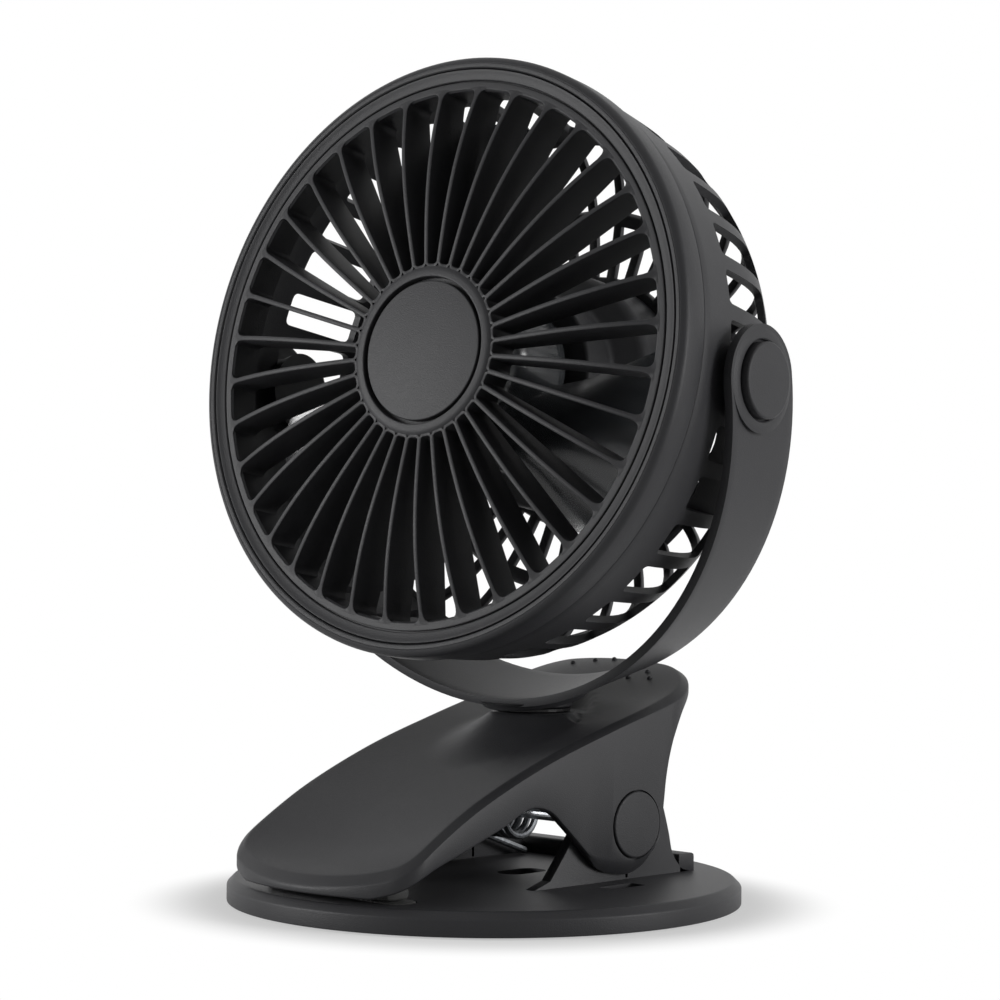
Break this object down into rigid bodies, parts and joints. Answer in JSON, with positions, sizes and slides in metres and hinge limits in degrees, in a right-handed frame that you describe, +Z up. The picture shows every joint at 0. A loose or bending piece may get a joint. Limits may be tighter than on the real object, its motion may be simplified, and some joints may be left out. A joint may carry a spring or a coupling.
{
  "type": "clip fan",
  "caption": "Rechargeable fan with a drum-shaped head and radial grille on a tilting U-shaped yoke, swivelling on a spring clip that stands on a round foot.",
  "frame": {"origin": "centre of the round foot's underside, on the desk", "axes": "+Z up; the clip's nose points along -Y and its thumb end along +Y; +X along the clip hinge"},
  "size_m": [0.151, 0.1212, 0.1971],
  "materials": {
    "charcoal_plastic": "fine-textured moulded ABS",
    "black_rubber": "soft moulded rubber",
    "bright_steel": "zinc-plated steel",
    "brass": "plain brass",
    "black_acetal": "black acetal",
    "smoke_plastic": "translucent smoke plastic",
    "clear_plastic": "clear light pipe",
    "circuit_board": "green solder mask",
    "cell_wrap": "shrink-wrapped pouch cell"
  },
  "bodies": {
    "foot body": {"foot": "charcoal_plastic", "foot_mat": "black_rubber", "foot_weight": "bright_steel", "foot_jaw_pad": "black_rubber", "hinge_pin": "bright_steel"},
    "lever body": {"lever": "charcoal_plastic", "lever_jaw_pad": "black_rubber", "hinge_cap_right": "charcoal_plastic", "hinge_cap_left": "charcoal_plastic", "clip_spring": "bright_steel", "swivel_washer": "black_acetal"},
    "yoke body": {"yoke": "charcoal_plastic", "swivel_plate": "bright_steel", "swivel_screw": "bright_steel", "tilt_cap_right": "charcoal_plastic", "tilt_cap_left": "charcoal_plastic", "tilt_bolt_right": "bright_steel", "tilt_bolt_left": "bright_steel", "tilt_washer_right": "black_acetal", "tilt_washer_left": "black_acetal"},
    "head body": {"drum": "charcoal_plastic", "rear_cage": "charcoal_plastic", "front_grille": "charcoal_plastic", "hub_cap": "charcoal_plastic", "rear_cover": "charcoal_plastic", "lamp_pipe": "clear_plastic", "usb_inlet": "bright_steel", "control_board": "circuit_board", "battery": "cell_wrap", "motor": "bright_steel", "cover_screw_1": "bright_steel", "cover_screw_2": "bright_steel", "cover_screw_3": "bright_steel", "motor_screw_1": "brass", "motor_screw_2": "brass"},
    "impeller body": {"impeller": "smoke_plastic", "motor_shaft": "bright_steel"},
    "button body": {"power_button": "charcoal_plastic"}
  },
  "joints": [
    {"name": "clamp_hinge", "type": "hinge", "parent": "foot body", "child": "lever body", "pos_m": [0, 0.02, 0.019], "axis": [1, 0, 0], "range_deg": [-30, 0], "stiffness_Nm_per_rad": 1, "springref_deg": 28.65, "deforming": ["clip_spring"]},
    {"name": "yoke_swivel", "type": "hinge", "parent": "lever body", "child": "yoke body", "pos_m": [0, 0.0163, 0.0452], "axis": [0, 0, 1], "range_deg": [-72, 58]},
    {"name": "head_tilt", "type": "hinge", "parent": "yoke body", "child": "head body", "pos_m": [0.0018, 0.00201, 0.1214], "axis": [0.9921, 0.1253, 0], "range_deg": [-85, 28]},
    {"name": "fan_spin", "type": "hinge", "parent": "head body", "child": "impeller body", "pos_m": [0.00489, -0.02238, 0.12794], "axis": [0.1239, -0.9804, 0.153], "continuous": true},
    {"name": "power_button_press", "type": "slide", "parent": "head body", "child": "button body", "axis": [0.1239, -0.9804, 0.153], "range_m": [0, 0.0007], "stiffness_N_per_m": 900}
  ]
}
